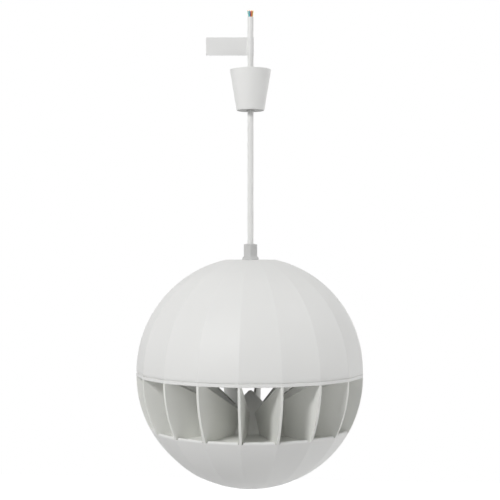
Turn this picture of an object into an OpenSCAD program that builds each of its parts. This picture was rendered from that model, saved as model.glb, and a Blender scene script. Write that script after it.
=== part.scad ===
// Pendant speaker: a gored ball with an all-round horn band, hung on its own cord below a ceiling cup.
// Millimetres, +Z up. The origin is on the cord's axis at the ceiling, in the plane of the cup's rim.

/* [Ball] */
// Width of the ball across its corners
ball_d = 401; // [380:1:420]
// Flat gores round the ball, with a vane behind each corner
gores = 18; // [16:2:20]
// Wall of the moulded shells
shell_wall = 3.5; // [2.5:0.5:4.5]
// Thickness of the flat on top, which carries the gland
top_wall = 5; // [4:0.5:7]
// Corner radius of the flat on top
top_flat_r = 44; // [40:1:48]
// Thickness of the flat under the bowl
bottom_wall = 6; // [5:0.5:8]
// Corner radius of the flat under the bowl
bottom_flat_r = 16; // [14:1:20]
// Straight skirt below the upper dome
skirt_h = 1.6; // [1:0.1:4]
// Centre of the bowl's sphere above the baffle's underside
bowl_lift = 2.4; // [1:0.1:4]
// Bevel along the seam between shell and baffle
seam_bevel = 0.6; // [0.3:0.1:1]

/* [Horn] */
// Height of the open band round the ball
horn_h = 91.6; // [88:0.2:100]
// Thickness of the baffle, whose edge shows as a band
baffle_t = 5.8; // [5.2:0.2:8]
// Thickness of a vane
vane_t = 4.2; // [3:0.2:5.4]
// Length of a vane's flat seat under the baffle
vane_seat = 19; // [17:1:24]
// Fall of a vane's inner edge for each millimetre inwards
vane_fall = 0.425; // [0.38:0.005:0.47]
// Length of the tongue on top of a vane
tongue_l = 10; // [6:1:12]
// Height of the tongue on top of a vane
tongue_h = 3; // [2:0.5:4]
// Length of the hook under a vane's foot
hook_l = 5; // [4:0.5:7]
// Height of the hook under a vane's foot
hook_h = 8; // [6:0.5:12]
// Room on each side of a vane where it passes the bowl's rim
foot_room = 2.4; // [1:0.2:3]
// Floor of the horn below the bowl's rim
floor_drop = 3.3; // [2:0.1:5]
// Thickness of the horn's floor and of its cone
floor_t = 3; // [2.5:0.5:4]
// Width of the bowl's rim at a corner
rim_w = 7.2; // [6:0.2:9]
// Rounding of the bowl's rim
rim_round = 3; // [2:0.5:3.5]
// Width of the ledge that carries the floor
ledge_w = 5; // [4:0.5:7]
// Point of the deflecting cone below the baffle, before rounding
cone_drop = 24.7; // [22:0.1:28]
// Fall of the cone's flank for each millimetre outwards
cone_fall = 1.02; // [0.98:0.01:1.08]
// Rounding of the cone's point
tip_round = 6; // [4:0.5:8]
// Radius of the post under the cone
post_r = 7; // [6:0.5:9]

/* [Driver] */
// Outer radius of the driver's flange
flange_r = 104; // [100:0.5:110]
// Flange outside the circle of driver screws
flange_edge = 6.5; // [5.5:0.5:8]
// Circle of driver screws outside the hole in the baffle
screw_edge = 6; // [5.5:0.5:8]
// Room round the surround in the baffle's hole
cutout_room = 1.5; // [1:0.5:3]
// Width of the flange behind the surround's edge
flange_land = 6; // [5:0.5:7]
// Thickness of the flange
flange_t = 2.5; // [2:0.1:3]
// Thickness of the gasket under the flange
gasket_t = 2; // [1.5:0.1:3]
// Number of driver screws
flange_screws = 8; // [4:2:8]
// Height of the basket from flange to magnet
basket_h = 44; // [42:0.5:48]
// Thickness of the basket's wall
basket_t = 2; // [1.6:0.1:2.5]
// Radius of the surround's roll
roll_r = 6; // [5:0.5:7]
// Width of the surround's flat edge
surround_edge = 4; // [3:0.5:5]
// Room between the spider and the top plate
travel_room = 9.2; // [8.6:0.2:11]
// Thickness of the cone's paper
paper_t = 1; // [0.8:0.1:1.2]
// Radius of the voice coil former
former_r = 19.2; // [18.8:0.1:19.6]
// Thickness of the voice coil former
former_t = 0.6; // [0.4:0.1:0.7]
// Thickness of the coil's winding
winding_t = 0.6; // [0.4:0.1:0.8]
// Radial air gap on each side of the coil
air_gap = 0.6; // [0.5:0.1:0.8]
// Radius of the magnet
magnet_r = 45; // [43:1:50]
// Thickness of the magnet
magnet_t = 18; // [16:1:22]
// Thickness of the top plate and of the back plate
plate_t = 6; // [5:0.5:7]
// Height of the dust cap
cap_h = 8; // [6:0.5:9]

/* [Electrics] */
// Width of the transformer's core
core_w = 48; // [44:1:54]
// Depth of the transformer's core
core_d = 20; // [16:1:24]
// Height of the transformer's core
core_h = 40; // [38:1:46]
// Thickness of the bracket on the magnet
bracket_t = 2; // [1.5:0.5:3]
// Length of the terminal block
block_l = 34; // [30:1:38]
// Height of the terminal block
block_h = 16; // [14:1:20]

/* [Gland] */
// Width across flats of the dome nut
nut_af = 23.6; // [22:0.2:26]
// Height of the dome nut
nut_h = 22.5; // [20:0.1:24]
// Width across flats of the flared base
base_af = 29; // [27:0.5:32]
// Height of the flared base
base_h = 5.7; // [4.5:0.1:7]
// Radius of the thread through the shell
thread_r = 10; // [9.4:0.2:10.4]
// Length of the thread inside the shell, past the top wall
thread_l = 14; // [12:0.5:18]
// Thickness of the locknut
locknut_t = 5; // [4:0.5:6]
// Radius of the steel load plate under the top wall
load_plate_r = 38; // [30:1:42]
// Thickness of the load plate
load_plate_t = 2; // [1.5:0.5:3]
// Height of the cord clamp
clamp_h = 12; // [10:1:16]

/* [Cord and ceiling cup] */
// Ceiling to the top of the gland
cord_drop = 307; // [300:1:320]
// Diameter of the cord
cord_d = 10.5; // [9.5:0.1:11]
// Height of the ceiling cup
cup_h = 72; // [64:1:80]
// Radius of the cup at the ceiling
cup_top_r = 36.4; // [33:0.2:42]
// Radius of the cup at its closed end
cup_end_r = 24.5; // [21:0.5:28]
// Wall of the cup
cup_wall = 2; // [1.5:0.1:3]
// Length of the tag from the cord's axis
tag_l = 78.5; // [60:0.5:90]
// Height of the tag
tag_h = 31.8; // [25:0.1:36]
// Thickness of the tag's film
tag_t = 0.6; // [0.4:0.1:1]
// Lower edge of the tag above the ceiling
tag_z = 25.4; // [22:0.1:32]

/* [Fixings] */
// Screws that hold the shell to the baffle
shell_screws_n = 6; // [4:1:9]
// Shell screws inside the ball's corners
boss_inset = 28; // [25:1:32]
// Radius of a screw's shank
shank_r = 2; // [1.6:0.1:2.4]
// Radius of a screw's head
head_r = 4; // [3.6:0.1:4.4]
// Height of a screw's head
head_h = 2.4; // [2:0.1:2.8]
// Radius of a screw boss in the shell
boss_r = 5.5; // [5:0.5:7]
// Height of a screw boss
boss_h = 28; // [24:1:32]

/* [Hidden] */
VANE_NAMES = [for (k = [1 : gores]) str("vane_", k < 10 ? "0" : "", k)];
$fn = 72;

// Clearances
head_sink = 0.2;
fit_gap = 0.3;
slip_gap = 0.15;
glue_gap = 0.1;
// Slope that keeps two levels of a gored solid apart
level_gap = 0.001;
thread_gap = 0.05;
screw_room = 0.3;
// Overshoot of a cut past the face that it opens
cut = 1;

// Heights on the axis
z_nut_top = -cord_drop;
z_top = z_nut_top - nut_h - base_h;
ball_r = ball_d / 2;
flat_share = cos(180 / gores);
top_rise = sqrt(ball_r * ball_r - top_flat_r * top_flat_r);
z_dome = z_top - top_rise;
z_seam = z_dome - skirt_h;
z_horn = z_seam - baffle_t;
bottom_fall = sqrt(ball_r * ball_r - bottom_flat_r * bottom_flat_r);
bottom_z = bowl_lift - bottom_fall;

// Shells
inner_r = ball_r - shell_wall / flat_share;
shell_pitch_r = ball_r - boss_inset;
boss_web_t = 3;
boss_web_gap = 2;
boss_blind = 3;
lining_t = 10;
lining_gap = 6;
lining_low = boss_h + lining_gap;
lining_h = 86;
lining_high = lining_low + lining_h;
spigot_h = 6;
spigot_w = 4;
shell_grip = 18;
dome_steps = 20;
inner_steps = 14;
lining_steps = 8;
rim_steps = 5;
bowl_steps = 16;
bowl_in_steps = 12;

// Horn, measured from the baffle's underside
floor_z = -horn_h - floor_drop;
rim_r = sqrt(ball_r * ball_r - pow(horn_h + bowl_lift, 2));
floor_r = rim_r - rim_w;
ledge_z = floor_z - floor_t;
seat_r = ball_r - vane_seat;
cone_foot_r = (-floor_z - cone_drop) / cone_fall;
vane_in_r = ((vane_fall * seat_r - cone_drop) / cone_fall + slip_gap) / (1 + vane_fall / cone_fall);
vane_in_z = -vane_fall * (seat_r - vane_in_r);
slot_w = vane_t + 2 * foot_room;
hook_gap = 2;
hook_out_r = floor_r - ledge_w - hook_gap;
slot_in_r = hook_out_r - hook_l - slip_gap;
tongue_gap = 3;
tongue_r = seat_r + tongue_gap;
tip_a = atan(1 / cone_fall);
tip_steps = 8;
post_gap = 0.5;
bore_l = 24;
bore_end = 6;
flank_share = sqrt(1 + cone_fall * cone_fall);
cone_in_r = 4;

// Driver, measured upwards from the top of the baffle
flange_z = gasket_t;
flange_top = flange_z + flange_t;
motor_z = flange_z + basket_h;
magnet_z = motor_z + plate_t;
back_z = magnet_z + magnet_t;
bracket_z = back_z + plate_t;
plate_step = 3;
plate_r = magnet_r - plate_step;
pole_r = former_r - former_t - air_gap;
gap_r = former_r + winding_t + air_gap;
magnet_room = 4;
magnet_in_r = gap_r + magnet_room;
vent_r = 5;
coil_h = 10;
coil_rise = 4;
coil_slip = 0.02;
spider_t = 1.2;
spider_wave = 1.2;
spider_waves = 4;
wave_steps = 6;
spider_r = magnet_r + 1;
spider_z = motor_z - travel_room;
spider_land = 4;
shelf_in_r = spider_r - spider_land;
neck_gap = 1.8;
neck_z = spider_z - neck_gap;
neck_h = 3;
former_low = neck_z - neck_h;
former_high = motor_z + plate_t + coil_rise;
basket_land = 11;
basket_in_r = magnet_r - basket_land;
basket_wall = basket_t * 1.25;
window_edge = 8;
window_foot = 7;
window_gap = 1;
window_reach = 12;
windows = 6;
flange_pitch_r = flange_r - flange_edge;
cutout_r = flange_pitch_r - screw_edge;
blind_t = 0.8;
gasket_inset = 1;
rubber_t = 1;
surround_r = cutout_r - cutout_room;
flange_in_r = surround_r - flange_land;
mouth_r = surround_r - surround_edge - rubber_t - 2 * roll_r;
cone_lip = 4;
roll_steps = 10;
cap_over = 4.8;
cap_r = former_r + cap_over;
cap_skin = 0.8;
terminal_w = 8;
terminal_l = 18;
terminal_t = 4;
terminal_edge = 4;
terminal_r = flange_r - terminal_edge - terminal_w;
lug_y = 5;
lug_w = 3;
lug_t = 1;
lug_h = 6;

// Electrics
leg_w = core_w / 3;
window_w = core_w / 6;
core_z = bracket_z + bracket_t;
clamp_t = 1.5;
clamp_foot = 9;
clamp_share = 0.7;
winding_gap = 0.2;
block_w = 14;
block_ways = 4;
block_gap = 9;
block_x = core_w / 2 + clamp_t + clamp_foot + block_gap;
wire_hole_r = 1.8;
wire_hole_l = 4;
screw_hole_r = 2;
screw_hole_l = 5;
bracket_edge = 2;
bracket_x = block_x + block_w + bracket_edge;
lead_r = 1;
// Shares of the leads' way out and down at each of their points
LEAD_BENDS = [[0, 0], [0.26, 0.03], [0.63, 0.22], [0.9, 0.47], [1, 0.72], [1, 1]];
// Shares of the inner cable's way out and down, once it has left the clamp
CABLE_BENDS = [[0, 0], [0.06, 0.14], [0.5, 0.41], [0.94, 0.65], [1, 0.88], [1, 1]];
CABLE_SHAFT = [0, 0.4, 0.8];

// Gland
cord_r = cord_d / 2;
bore_room = 0.25;
bore_r = cord_r + bore_room;
collar_h = 12;
collar_r = 9.6;
collar_room = 0.4;
seal_r = 8;
seal_seat = 2;
locknut_af = 26;
nut_crown = 3.4;
crown_in = 1;
crown_a = 25;
crown_end_a = 75;
crown_taper = 0.2;
crown_top = 0.6;
crown_steps = 5;
mouth_edge = 1.2;
base_round = 1.6;
clamp_slit = 1;
cable_room = 7;
z_plate = z_top - top_wall - load_plate_t;
z_thread = z_top - top_wall - thread_l;
view_turn = 5.3;
corner_turn = -90 + view_turn;

// Ceiling cup
grommet_neck_r = 8;
grommet_flange_r = 11;
grommet_flange_t = 3;
cup_edge = 0.8;
cup_floor = 1.25 * cup_wall;

// Route of the hanging cord, from the gland up to the end of its sheath
CORD_ROUTE = [
    [0, 0, -307], [0, 0, -280], [0, 0, -250], [0, 0, -220], [0, 0, -190],
    [0, 0, -160], [0, 0, -130], [0, 0, -100], [0, 0, -70], [0, 0, -40],
    [0, 0, -10], [0, 0, 20], [0, 0, 45], [0, 0, 70], [0, 0, 93]
];
// Stripped conductors: where each leaves the sheath and how far it leans by its tip
WIRE_R = 0.95;
WIRE_H = 11.5;
WIRE_STEPS = [[0, 0], [0.3, 0], [0.7, 0.45], [1, 1]];
WIRES = [
    ["dimgray", [-2.9, 1.2], [-1.9, 0.4]],
    ["teal", [-1.6, -2.3], [-0.9, -0.7]],
    ["navy", [0.2, 2.9], [0, 0.5]],
    ["firebrick", [1.3, -2.4], [0.4, -0.6]],
    ["gold", [2.9, 0.9], [1.4, 0.2]]
];

// Compass angle of a corner of the ball, counted from the front
function corner_a(k) = -90 + k * 360 / gores;
// Angle of the gore in which one of n screws lies
function gore_middle_a(i, n) = corner_a(floor(i * gores / n) + 0.5);
// Corner radius and height of points up a dome between two heights from its centre
function dome_line(r, low, high, steps) =
    let (a = asin(low / r), b = asin(high / r))
    [for (i = [0 : steps]) let (t = a + (b - a) * i / steps) [r * cos(t), r * sin(t)]];
// A line of corner radii and heights, raised as a whole
function raised(line, rise) = [for (p = line) [p[0], p[1] + rise]];
// Points of an arc in a half section
function arc_line(x, z, r, a, b, steps) =
    [for (i = [0 : steps]) let (t = a + (b - a) * i / steps) [x + r * cos(t), z + r * sin(t)]];
// Inner radius of the basket's sloping wall at a height above the seam
function basket_in(z) = flange_in_r + (spider_r - flange_in_r) * (z - flange_top) / (motor_z - basket_t - flange_top);
function unit(v) = v / norm(v);
function route_way(path, i) = unit(path[min(i + 1, len(path) - 1)] - path[max(i - 1, 0)]);
// One ring of a swept tube, square to the route
function tube_ring(path, i, r, sides) =
    let (way = route_way(path, i), u = unit(cross(way, [0, 1, 0])), v = cross(way, u))
    [for (s = [0 : sides - 1]) path[i] + r * (cos(360 * s / sides) * u + sin(360 * s / sides) * v)];
// Two triangles of a tube's wall
function wall_pair(a, b, c, d) = [[a, b, c], [a, c, d]];

// A solid with one flat side to each gore, from corner radii and heights, bottom first
module gore_solid(line) {
    n = len(line);
    points = [for (p = line, k = [0 : gores - 1])
        [p[0] * cos(corner_a(k)), p[0] * sin(corner_a(k)), p[1]]];
    bottom = [for (k = [0 : gores - 1]) k];
    top = [for (k = [gores - 1 : -1 : 0]) (n - 1) * gores + k];
    sides = [for (i = [0 : n - 2], k = [0 : gores - 1]) let (j = (k + 1) % gores)
        [i * gores + k, (i + 1) * gores + k, (i + 1) * gores + j, i * gores + j]];
    polyhedron(points, concat([bottom, top], sides), convexity = 6);
}

module tube(path, r, sides) {
    n = len(path);
    points = [for (i = [0 : n - 1]) each tube_ring(path, i, r, sides)];
    start = [for (s = [0 : sides - 1]) s];
    finish = [for (s = [sides - 1 : -1 : 0]) (n - 1) * sides + s];
    walls = [for (i = [0 : n - 2], s = [0 : sides - 1]) let (t = (s + 1) % sides)
        each wall_pair(i * sides + s, (i + 1) * sides + s, (i + 1) * sides + t, i * sides + t)];
    polyhedron(points, concat([start, finish], walls), convexity = 6);
}

module ring(outer, inner, z, h) {
    translate([0, 0, z])
        difference() {
            cylinder(r = outer, h = h);
            translate([0, 0, -cut])
                cylinder(r = inner, h = h + 2 * cut);
        }
}

module hexagon(af, h) {
    rotate([0, 0, corner_turn])
        cylinder(d = af / cos(30), h = h, $fn = 6);
}

module in_gores(n, r) {
    for (i = [0 : n - 1])
        rotate([0, 0, gore_middle_a(i, n)])
            translate([r, 0, 0])
                children();
}

module on_flange(n = flange_screws) {
    for (i = [0 : n - 1])
        rotate([0, 0, (i + 0.5) * 360 / n])
            translate([flange_pitch_r, 0, 0])
                children();
}

module at_seam() {
    translate([0, 0, z_seam])
        children();
}

module at_horn() {
    translate([0, 0, z_horn])
        children();
}

// A pan-headed screw whose head rests on z = 0 and whose shank points down
module pan_screw(length) {
    translate([0, 0, -length])
        cylinder(r = shank_r, h = length + head_h / 2);
    rotate_extrude()
        polygon([[0, 0], [head_r, 0], [head_r, head_h * 0.5], [head_r * 0.7, head_h], [0, head_h]]);
}

// Shells

module dome_outside() {
    translate([0, 0, z_dome])
        gore_solid(concat(
            [[ball_r - seam_bevel, -skirt_h], [ball_r, seam_bevel - skirt_h]],
            dome_line(ball_r, 0, top_rise, dome_steps)
        ));
}

module dome_inside() {
    translate([0, 0, z_dome])
        gore_solid(concat(
            [[inner_r, -skirt_h - cut]],
            dome_line(inner_r, 0, top_rise - top_wall, inner_steps)
        ));
}

module upper_shell() {
    color([0.93, 0.93, 0.92])
        difference() {
            union() {
                difference() {
                    dome_outside();
                    dome_inside();
                }
                intersection() {
                    dome_outside();
                    at_seam()
                        in_gores(shell_screws_n, shell_pitch_r) {
                            cylinder(r = boss_r, h = boss_h);
                            translate([0, -boss_web_t / 2, spigot_h + boss_web_gap])
                                cube([boss_inset, boss_web_t, boss_h - spigot_h - boss_web_gap]);
                        }
                }
            }
            at_seam()
                in_gores(shell_screws_n, shell_pitch_r)
                    translate([0, 0, -cut])
                        cylinder(r = shank_r + thread_gap, h = boss_h - boss_blind + cut);
            translate([0, 0, z_top - top_wall - cut])
                cylinder(r = thread_r + fit_gap, h = top_wall + 2 * cut);
        }
}

module damping_lining() {
    color([0.35, 0.36, 0.38])
        translate([0, 0, z_dome])
            difference() {
                gore_solid(dome_line(inner_r - fit_gap - glue_gap, lining_low, lining_high, inner_steps));
                translate([0, 0, -level_gap * 10])
                    gore_solid(dome_line(inner_r - lining_t, lining_low, lining_high + thread_gap, lining_steps));
            }
}

module baffle_ring() {
    color([0.93, 0.93, 0.92])
        at_horn()
            difference() {
                union() {
                    gore_solid([
                        [ball_r - seam_bevel, 0],
                        [ball_r, seam_bevel],
                        [ball_r, baffle_t - seam_bevel],
                        [ball_r - seam_bevel, baffle_t]
                    ]);
                    difference() {
                        gore_solid([[inner_r - fit_gap, baffle_t - cut], [inner_r - fit_gap, baffle_t + spigot_h]]);
                        gore_solid([
                            [inner_r - fit_gap - spigot_w, baffle_t - 2 * cut],
                            [inner_r - fit_gap - spigot_w, baffle_t + spigot_h + cut]
                        ]);
                    }
                }
                translate([0, 0, -cut])
                    cylinder(r = cutout_r, h = baffle_t + 2 * cut, $fn = 120);
                for (k = [0 : gores - 1])
                    rotate([0, 0, corner_a(k)])
                        translate([tongue_r - slip_gap, -vane_t / 2 - slip_gap, -cut])
                            cube([tongue_l + 2 * slip_gap, vane_t + 2 * slip_gap, tongue_h + slip_gap + cut]);
                in_gores(shell_screws_n, shell_pitch_r) {
                    translate([0, 0, -cut])
                        cylinder(r = shank_r + screw_room, h = baffle_t + 2 * cut);
                    translate([0, 0, -cut])
                        cylinder(r = head_r + screw_room, h = head_h + head_sink + cut);
                }
                on_flange()
                    translate([0, 0, blind_t])
                        cylinder(r = shank_r + thread_gap, h = baffle_t);
            }
}

module shell_screws() {
    color([0.62, 0.62, 0.6])
        at_horn()
            in_gores(shell_screws_n, shell_pitch_r)
                translate([0, 0, head_h + head_sink])
                    mirror([0, 0, 1])
                        pan_screw(baffle_t - head_h + shell_grip);
}

// Horn

module vane_outline() {
    intersection() {
        translate([0, bowl_lift])
            circle(r = ball_r, $fn = 240);
        polygon([
            [ball_r + cut, 0],
            [seat_r, 0],
            [vane_in_r, vane_in_z],
            [cone_foot_r + slip_gap, floor_z],
            [ball_r + cut, floor_z]
        ]);
    }
    translate([tongue_r, -cut])
        square([tongue_l, tongue_h + cut]);
    translate([hook_out_r - hook_l, floor_z - hook_h])
        square([hook_l, hook_h + cut]);
}

module vane(k) {
    color([0.91, 0.91, 0.9])
        at_horn()
            rotate([0, 0, corner_a(k)])
                rotate([90, 0, 0])
                    linear_extrude(vane_t, center = true)
                        vane_outline();
}

module horn_cone(drop, grow) {
    rotate_extrude()
        polygon(concat(
            [[0, floor_z - grow], [cone_foot_r + grow / cone_fall, floor_z - grow]],
            arc_line(0, -drop - tip_round * flank_share, tip_round, tip_a, 90, tip_steps)
        ));
}

module deflector() {
    post_z = bottom_z + bottom_wall;
    foot_in_r = cone_foot_r - floor_t * flank_share / cone_fall;
    color([0.91, 0.91, 0.9])
        at_horn()
            difference() {
                union() {
                    difference() {
                        union() {
                            gore_solid([[floor_r - fit_gap, ledge_z], [floor_r - fit_gap, floor_z]]);
                            horn_cone(cone_drop, floor_t / 2);
                        }
                        translate([0, 0, ledge_z - cut])
                            cylinder(
                                r1 = foot_in_r + (floor_t + cut) / cone_fall,
                                r2 = cone_in_r,
                                h = (foot_in_r - cone_in_r) * cone_fall + floor_t + cut
                            );
                    }
                    translate([0, 0, post_z])
                        cylinder(r = post_r, h = -cone_drop - post_r * cone_fall - post_gap - post_z);
                }
                for (k = [0 : gores - 1])
                    rotate([0, 0, corner_a(k)])
                        translate([slot_in_r, -slot_w / 2, ledge_z - cut])
                            cube([ball_r, slot_w, floor_t + floor_drop + 2 * cut]);
                translate([0, 0, post_z - cut])
                    cylinder(r = shank_r + thread_gap, h = bore_l + cut);
            }
}

module bottom_bowl() {
    round_z = -horn_h - rim_round;
    round_fall = round_z - bowl_lift;
    ledge_in_z = ledge_z - ledge_w - bowl_lift;
    round_r = sqrt(pow(ball_r - rim_round, 2) - round_fall * round_fall);
    color([0.93, 0.93, 0.92])
        at_horn()
            difference() {
                gore_solid(concat(
                    raised(dome_line(ball_r, -bottom_fall, round_fall - rim_round, bowl_steps), bowl_lift),
                    arc_line(round_r, round_z, rim_round, asin(round_fall / (ball_r - rim_round)), 90, rim_steps)
                ));
                gore_solid(concat(
                    raised(dome_line(inner_r, bottom_wall - bottom_fall, ledge_in_z, bowl_in_steps), bowl_lift),
                    [
                        [floor_r - ledge_w, ledge_z - level_gap],
                        [floor_r, ledge_z],
                        [floor_r, cut - horn_h]
                    ]
                ));
                for (k = [0 : gores - 1])
                    rotate([0, 0, corner_a(k)])
                        translate([slot_in_r, -slot_w / 2, floor_z - glue_gap])
                            cube([ball_r, slot_w, floor_drop + 2 * cut]);
                translate([0, 0, bottom_z - cut])
                    cylinder(r = shank_r + screw_room, h = bottom_wall + 2 * cut);
                translate([0, 0, bottom_z - cut])
                    cylinder(r = head_r + screw_room, h = head_h + 2 * head_sink + cut);
            }
}

module bowl_screw() {
    color([0.62, 0.62, 0.6])
        at_horn()
            translate([0, 0, bottom_z + head_h + 2 * head_sink])
                mirror([0, 0, 1])
                    pan_screw(bottom_wall + bore_l - bore_end - head_h);
}

// Driver

module frame_gasket() {
    color([0.12, 0.12, 0.13])
        at_seam()
            difference() {
                ring(flange_r - gasket_inset, cutout_r + gasket_inset / 2, 0, gasket_t);
                on_flange()
                    translate([0, 0, -cut])
                        cylinder(r = shank_r + screw_room, h = gasket_t + 2 * cut);
            }
}

module driver_frame() {
    wall = basket_wall;
    shelf_z = spider_z + spider_t + glue_gap;
    window_out = flange_in_r - window_edge;
    window_in = spider_r + window_foot;
    color([0.2, 0.2, 0.21])
        at_seam()
            difference() {
                union() {
                    rotate_extrude()
                        polygon([
                            [flange_in_r, flange_z],
                            [flange_r, flange_z],
                            [flange_r, flange_top],
                            [flange_in_r + wall, flange_top],
                            [spider_r + wall + basket_t / 2, motor_z - basket_t],
                            [spider_r + wall - basket_t / 2, motor_z],
                            [basket_in_r, motor_z],
                            [basket_in_r, motor_z - basket_t],
                            [spider_r, motor_z - basket_t],
                            [flange_in_r, flange_top]
                        ]);
                    rotate_extrude()
                        polygon([
                            [shelf_in_r, shelf_z],
                            [basket_in(shelf_z) + wall / 2, shelf_z],
                            [basket_in(shelf_z + basket_t) + wall / 2, shelf_z + basket_t],
                            [shelf_in_r, shelf_z + basket_t]
                        ]);
                }
                for (i = [0 : windows - 1])
                    rotate([0, 0, i * 360 / windows])
                        translate([0, 0, flange_top + window_gap])
                            linear_extrude(shelf_z - flange_top - 2 * window_gap)
                                polygon([
                                    [window_in, -window_in * 0.36],
                                    [window_out + window_reach, -window_out * 0.42],
                                    [window_out + window_reach, window_out * 0.42],
                                    [window_in, window_in * 0.36]
                                ]);
                on_flange()
                    cylinder(r = shank_r + screw_room, h = 2 * flange_top);
            }
}

module driver_screws() {
    color([0.62, 0.62, 0.6])
        at_seam()
            on_flange()
                translate([0, 0, flange_top])
                    pan_screw(flange_top + baffle_t - blind_t - 2 * screw_room);
}

module driver_terminals() {
    color([0.7, 0.6, 0.35])
        at_seam()
            translate([terminal_r, 0, flange_top]) {
                translate([0, -terminal_l / 2, 0])
                    cube([terminal_w, terminal_l, terminal_t]);
                for (y = [-lug_y, lug_y])
                    translate([terminal_w / 2 - lug_t, y - lug_w / 2, terminal_t - lug_t / 2])
                        cube([lug_t, lug_w, lug_h]);
            }
}

module top_plate() {
    color([0.55, 0.56, 0.58])
        at_seam()
            ring(plate_r, gap_r, motor_z, plate_t);
}

module magnet() {
    color([0.17, 0.17, 0.18])
        at_seam()
            ring(magnet_r, magnet_in_r, magnet_z, magnet_t);
}

module back_plate() {
    color([0.55, 0.56, 0.58])
        at_seam()
            difference() {
                union() {
                    translate([0, 0, back_z])
                        cylinder(r = plate_r, h = plate_t);
                    translate([0, 0, motor_z])
                        cylinder(r = pole_r, h = back_z - motor_z + cut);
                }
                translate([0, 0, motor_z - cut])
                    cylinder(r = vent_r, h = bracket_z - motor_z + 2 * cut);
            }
}

module paper_cone() {
    color([0.16, 0.16, 0.16])
        at_seam()
            rotate_extrude()
                polygon([
                    [mouth_r - cone_lip, flange_z],
                    [mouth_r, flange_z],
                    [mouth_r, flange_z + paper_t],
                    [mouth_r - cone_lip + paper_t / 2, flange_z + paper_t],
                    [former_r + paper_t + glue_gap, neck_z],
                    [former_r + glue_gap, neck_z],
                    [former_r + glue_gap, neck_z - neck_h]
                ]);
}

module surround() {
    inner = mouth_r - cone_lip;
    mid = mouth_r + roll_r + rubber_t;
    low = flange_z - glue_gap - rubber_t;
    color([0.1, 0.1, 0.1])
        at_seam()
            rotate_extrude()
                polygon(concat(
                    [[inner, low], [inner, low + rubber_t], [mouth_r + rubber_t, low + rubber_t]],
                    arc_line(mid, low + rubber_t, roll_r - rubber_t, 180, 360, roll_steps),
                    [[surround_r, low + rubber_t], [surround_r, low]],
                    arc_line(mid, low, roll_r, 360, 180, roll_steps)
                ));
}

module spider() {
    flat = spider_land / 2;
    span = shelf_in_r - former_r - flat - spider_wave;
    steps = spider_waves * wave_steps;
    wave = [for (i = [0 : steps])
        [former_r + flat + span * i / steps, spider_z - spider_wave * pow(sin(180 * spider_waves * i / steps), 2)]];
    color([0.72, 0.6, 0.3])
        at_seam()
            rotate_extrude()
                polygon(concat(
                    [[former_r + glue_gap, spider_z]],
                    wave,
                    [[spider_r, spider_z], [spider_r, spider_z + spider_t]],
                    [for (i = [steps : -1 : 0]) wave[i] + [0, spider_t]],
                    [[former_r + glue_gap, spider_z + spider_t]]
                ));
}

module dust_cap() {
    big = (cap_r * cap_r + cap_h * cap_h) / (2 * cap_h);
    throat = mouth_r - cone_lip - former_r - glue_gap;
    rim_z = flange_z + (mouth_r - cone_lip - cap_r) * (former_low - flange_z) / throat - fit_gap;
    color([0.1, 0.1, 0.1])
        at_seam()
            intersection() {
                translate([0, 0, rim_z - cap_h + big])
                    difference() {
                        sphere(r = big, $fn = 120);
                        sphere(r = big - cap_skin, $fn = 120);
                    }
                translate([0, 0, rim_z - cap_h - cut])
                    cylinder(r = cap_r, h = cap_h + cut);
            }
}

module coil_former() {
    color([0.75, 0.55, 0.25])
        at_seam()
            ring(former_r, former_r - former_t, former_low, former_high - former_low);
}

module coil_winding() {
    color([0.72, 0.42, 0.2])
        at_seam()
            ring(former_r + winding_t, former_r + coil_slip, motor_z + plate_t / 2 - coil_h / 2, coil_h);
}

// Electrics

module transformer_bracket() {
    color([0.66, 0.67, 0.68])
        at_seam()
            translate([-core_w / 2 - clamp_t - clamp_foot - bracket_edge, -core_d, bracket_z])
                cube([core_w / 2 + clamp_t + clamp_foot + bracket_edge + bracket_x, 2 * core_d, bracket_t]);
}

module transformer_core() {
    color([0.3, 0.3, 0.32])
        at_seam()
            translate([0, 0, core_z])
                difference() {
                    translate([-core_w / 2, -core_d / 2, 0])
                        cube([core_w, core_d, core_h]);
                    for (side = [-1, 1])
                        translate([side * (leg_w + window_w) / 2 - window_w / 2, -core_d, leg_w / 2])
                            cube([window_w, 2 * core_d, core_h - leg_w]);
                }
}

module transformer_winding() {
    inset = winding_gap;
    color([0.8, 0.68, 0.3])
        at_seam()
            translate([0, 0, core_z + leg_w / 2 + inset])
                difference() {
                    translate([inset - leg_w / 2 - window_w, -core_d / 2 - window_w, 0])
                        cube([leg_w + 2 * window_w - 2 * inset, core_d + 2 * window_w, core_h - leg_w - 2 * inset]);
                    translate([-leg_w / 2 - inset, -core_d / 2 - inset, -cut])
                        cube([leg_w + 2 * inset, core_d + 2 * inset, core_h]);
                }
}

module transformer_clamp() {
    half = core_w / 2 + glue_gap;
    over = core_h + glue_gap;
    color([0.7, 0.71, 0.72])
        at_seam()
            translate([0, 0, core_z])
                rotate([90, 0, 0])
                    linear_extrude(core_d * clamp_share, center = true)
                        polygon([
                            [-half - clamp_foot, 0], [-half, 0], [-half, over], [half, over],
                            [half, 0], [half + clamp_foot, 0], [half + clamp_foot, clamp_t],
                            [half + clamp_t, clamp_t], [half + clamp_t, over + clamp_t],
                            [-half - clamp_t, over + clamp_t], [-half - clamp_t, clamp_t],
                            [-half - clamp_foot, clamp_t]
                        ]);
}

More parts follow.
